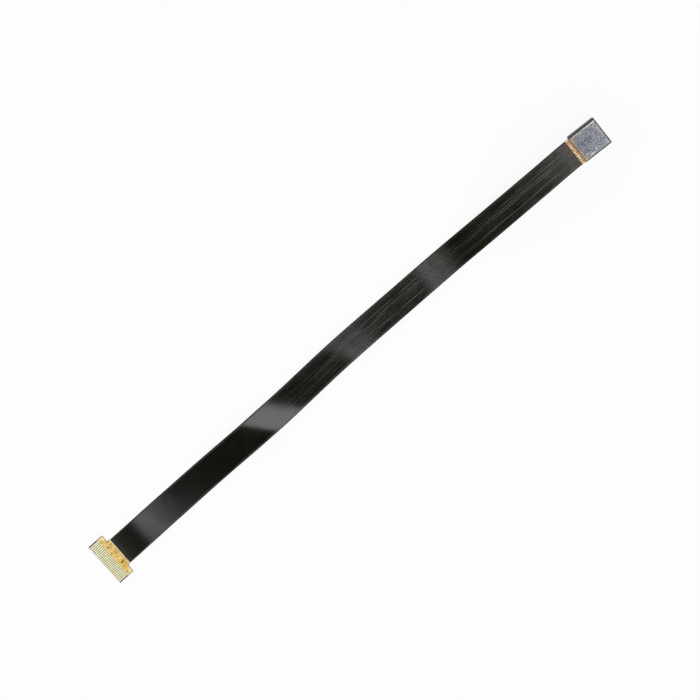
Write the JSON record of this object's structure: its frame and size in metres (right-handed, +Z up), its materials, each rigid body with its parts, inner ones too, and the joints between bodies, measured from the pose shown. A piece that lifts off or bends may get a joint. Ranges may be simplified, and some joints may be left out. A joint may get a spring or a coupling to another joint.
{
  "type": "camera module",
  "caption": "Small fixed-focus camera head with a steel back plate on a long flat flex cable that ends in a tab of gold contacts.",
  "frame": {"origin": "on the table under the lens axis, at the centre of the camera head's footprint", "axes": "+X along the camera head, away from the flex cable; +Z up, out of the back plate; the lens faces -Z"},
  "size_m": [0.1728, 0.0198, 0.0051],
  "materials": {
    "steel_plate": "dull satin, fine scuffs",
    "glue": "cured epoxy",
    "clear_glue": "milky cured glue",
    "polyimide": "amber film",
    "black_film": "satin black shield film",
    "copper": "copper seen through amber film",
    "gold": "flash gold plating",
    "stiffener": "dark laminate",
    "board": "black solder mask",
    "holder_plastic": "moulded black plastic, fine grain",
    "barrel_plastic": "moulded black plastic, smooth",
    "lens_plastic": "clear, coated",
    "filter_glass": "coated glass",
    "silicon": "polished silicon",
    "chip": "moulded package",
    "capacitor": "brown ceramic",
    "solder": "bright tin"
  },
  "bodies": {
    "root": {"backing_plate": "steel_plate", "plate_adhesive": "glue", "flex_circuit": "polyimide", "top_shield_film": "black_film", "bottom_shield_film": "black_film", "strip_traces": "copper", "tab_traces": "copper", "gold_contacts": "gold", "tab_stiffener": "stiffener", "head_board": "board", "memory_chip": "chip", "capacitor_bodies": "capacitor", "capacitor_ends": "solder", "solder_balls": "solder", "image_sensor": "silicon", "sensor_dam": "glue", "sensor_cover_glass": "filter_glass", "infrared_filter": "filter_glass", "holder_adhesive": "glue", "lens_holder": "holder_plastic", "thread_glue": "clear_glue", "lens_barrel": "barrel_plastic", "front_lens": "lens_plastic", "second_lens": "lens_plastic", "third_lens": "lens_plastic", "rear_lens": "lens_plastic", "aperture_stop": "barrel_plastic", "light_baffle": "barrel_plastic", "spacer_ring": "barrel_plastic", "retaining_ring": "barrel_plastic"}
  },
  "joints": []
}
